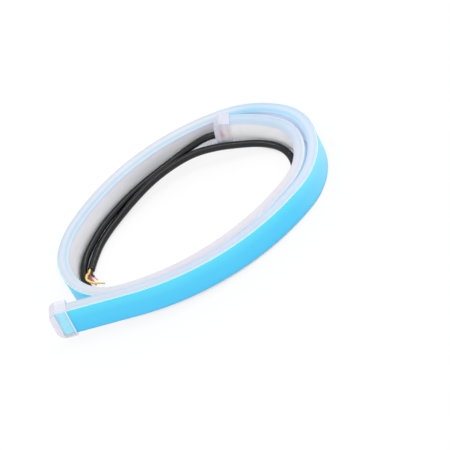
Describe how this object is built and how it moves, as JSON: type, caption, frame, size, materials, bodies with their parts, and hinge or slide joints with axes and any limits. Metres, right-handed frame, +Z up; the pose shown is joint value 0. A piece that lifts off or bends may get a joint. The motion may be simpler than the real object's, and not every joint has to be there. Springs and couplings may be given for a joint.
{
  "type": "daytime running light",
  "caption": "Flexible silicone daytime running light strip with an adhesive back and blue release film, coiled up on its long edge, with its thin cable laid inside the coil.",
  "frame": {"origin": "middle of the coil's box, on the surface that it lies on", "axes": "+Z up, across the strip's width; +X along the coil's long way, with the free blank end at -X and at the front, -Y"},
  "size_m": [0.127, 0.0735, 0.0195],
  "materials": {
    "silicone": "satin, milky translucent",
    "cap_silicone": "gloss, clear to milky",
    "sealant": "clear",
    "tape": "matt foam tape",
    "film": "satin film",
    "circuit": "satin",
    "white_led": "gloss",
    "amber_led": "gloss",
    "resistor": "matt",
    "solder": "bright",
    "cable": "satin",
    "red_wire": "satin",
    "yellow_wire": "satin",
    "black_wire": "satin",
    "tinned_copper": "bright, stranded"
  },
  "bodies": {
    "root": {"silicone_body": "silicone", "adhesive_tape": "tape", "release_film": "film", "flex_circuit": "circuit", "white_leds": "white_led", "amber_leds": "amber_led", "led_resistors": "resistor", "blank_end_cap": "cap_silicone", "blank_end_sealant": "sealant", "cable_end_cap": "cap_silicone", "cable_end_sealant": "sealant", "solder_joints": "solder", "red_core": "red_wire", "yellow_core": "yellow_wire", "black_core": "black_wire", "cable_jacket": "cable", "red_lead": "red_wire", "yellow_lead": "yellow_wire", "black_lead": "black_wire", "lead_tips": "tinned_copper"}
  },
  "joints": []
}
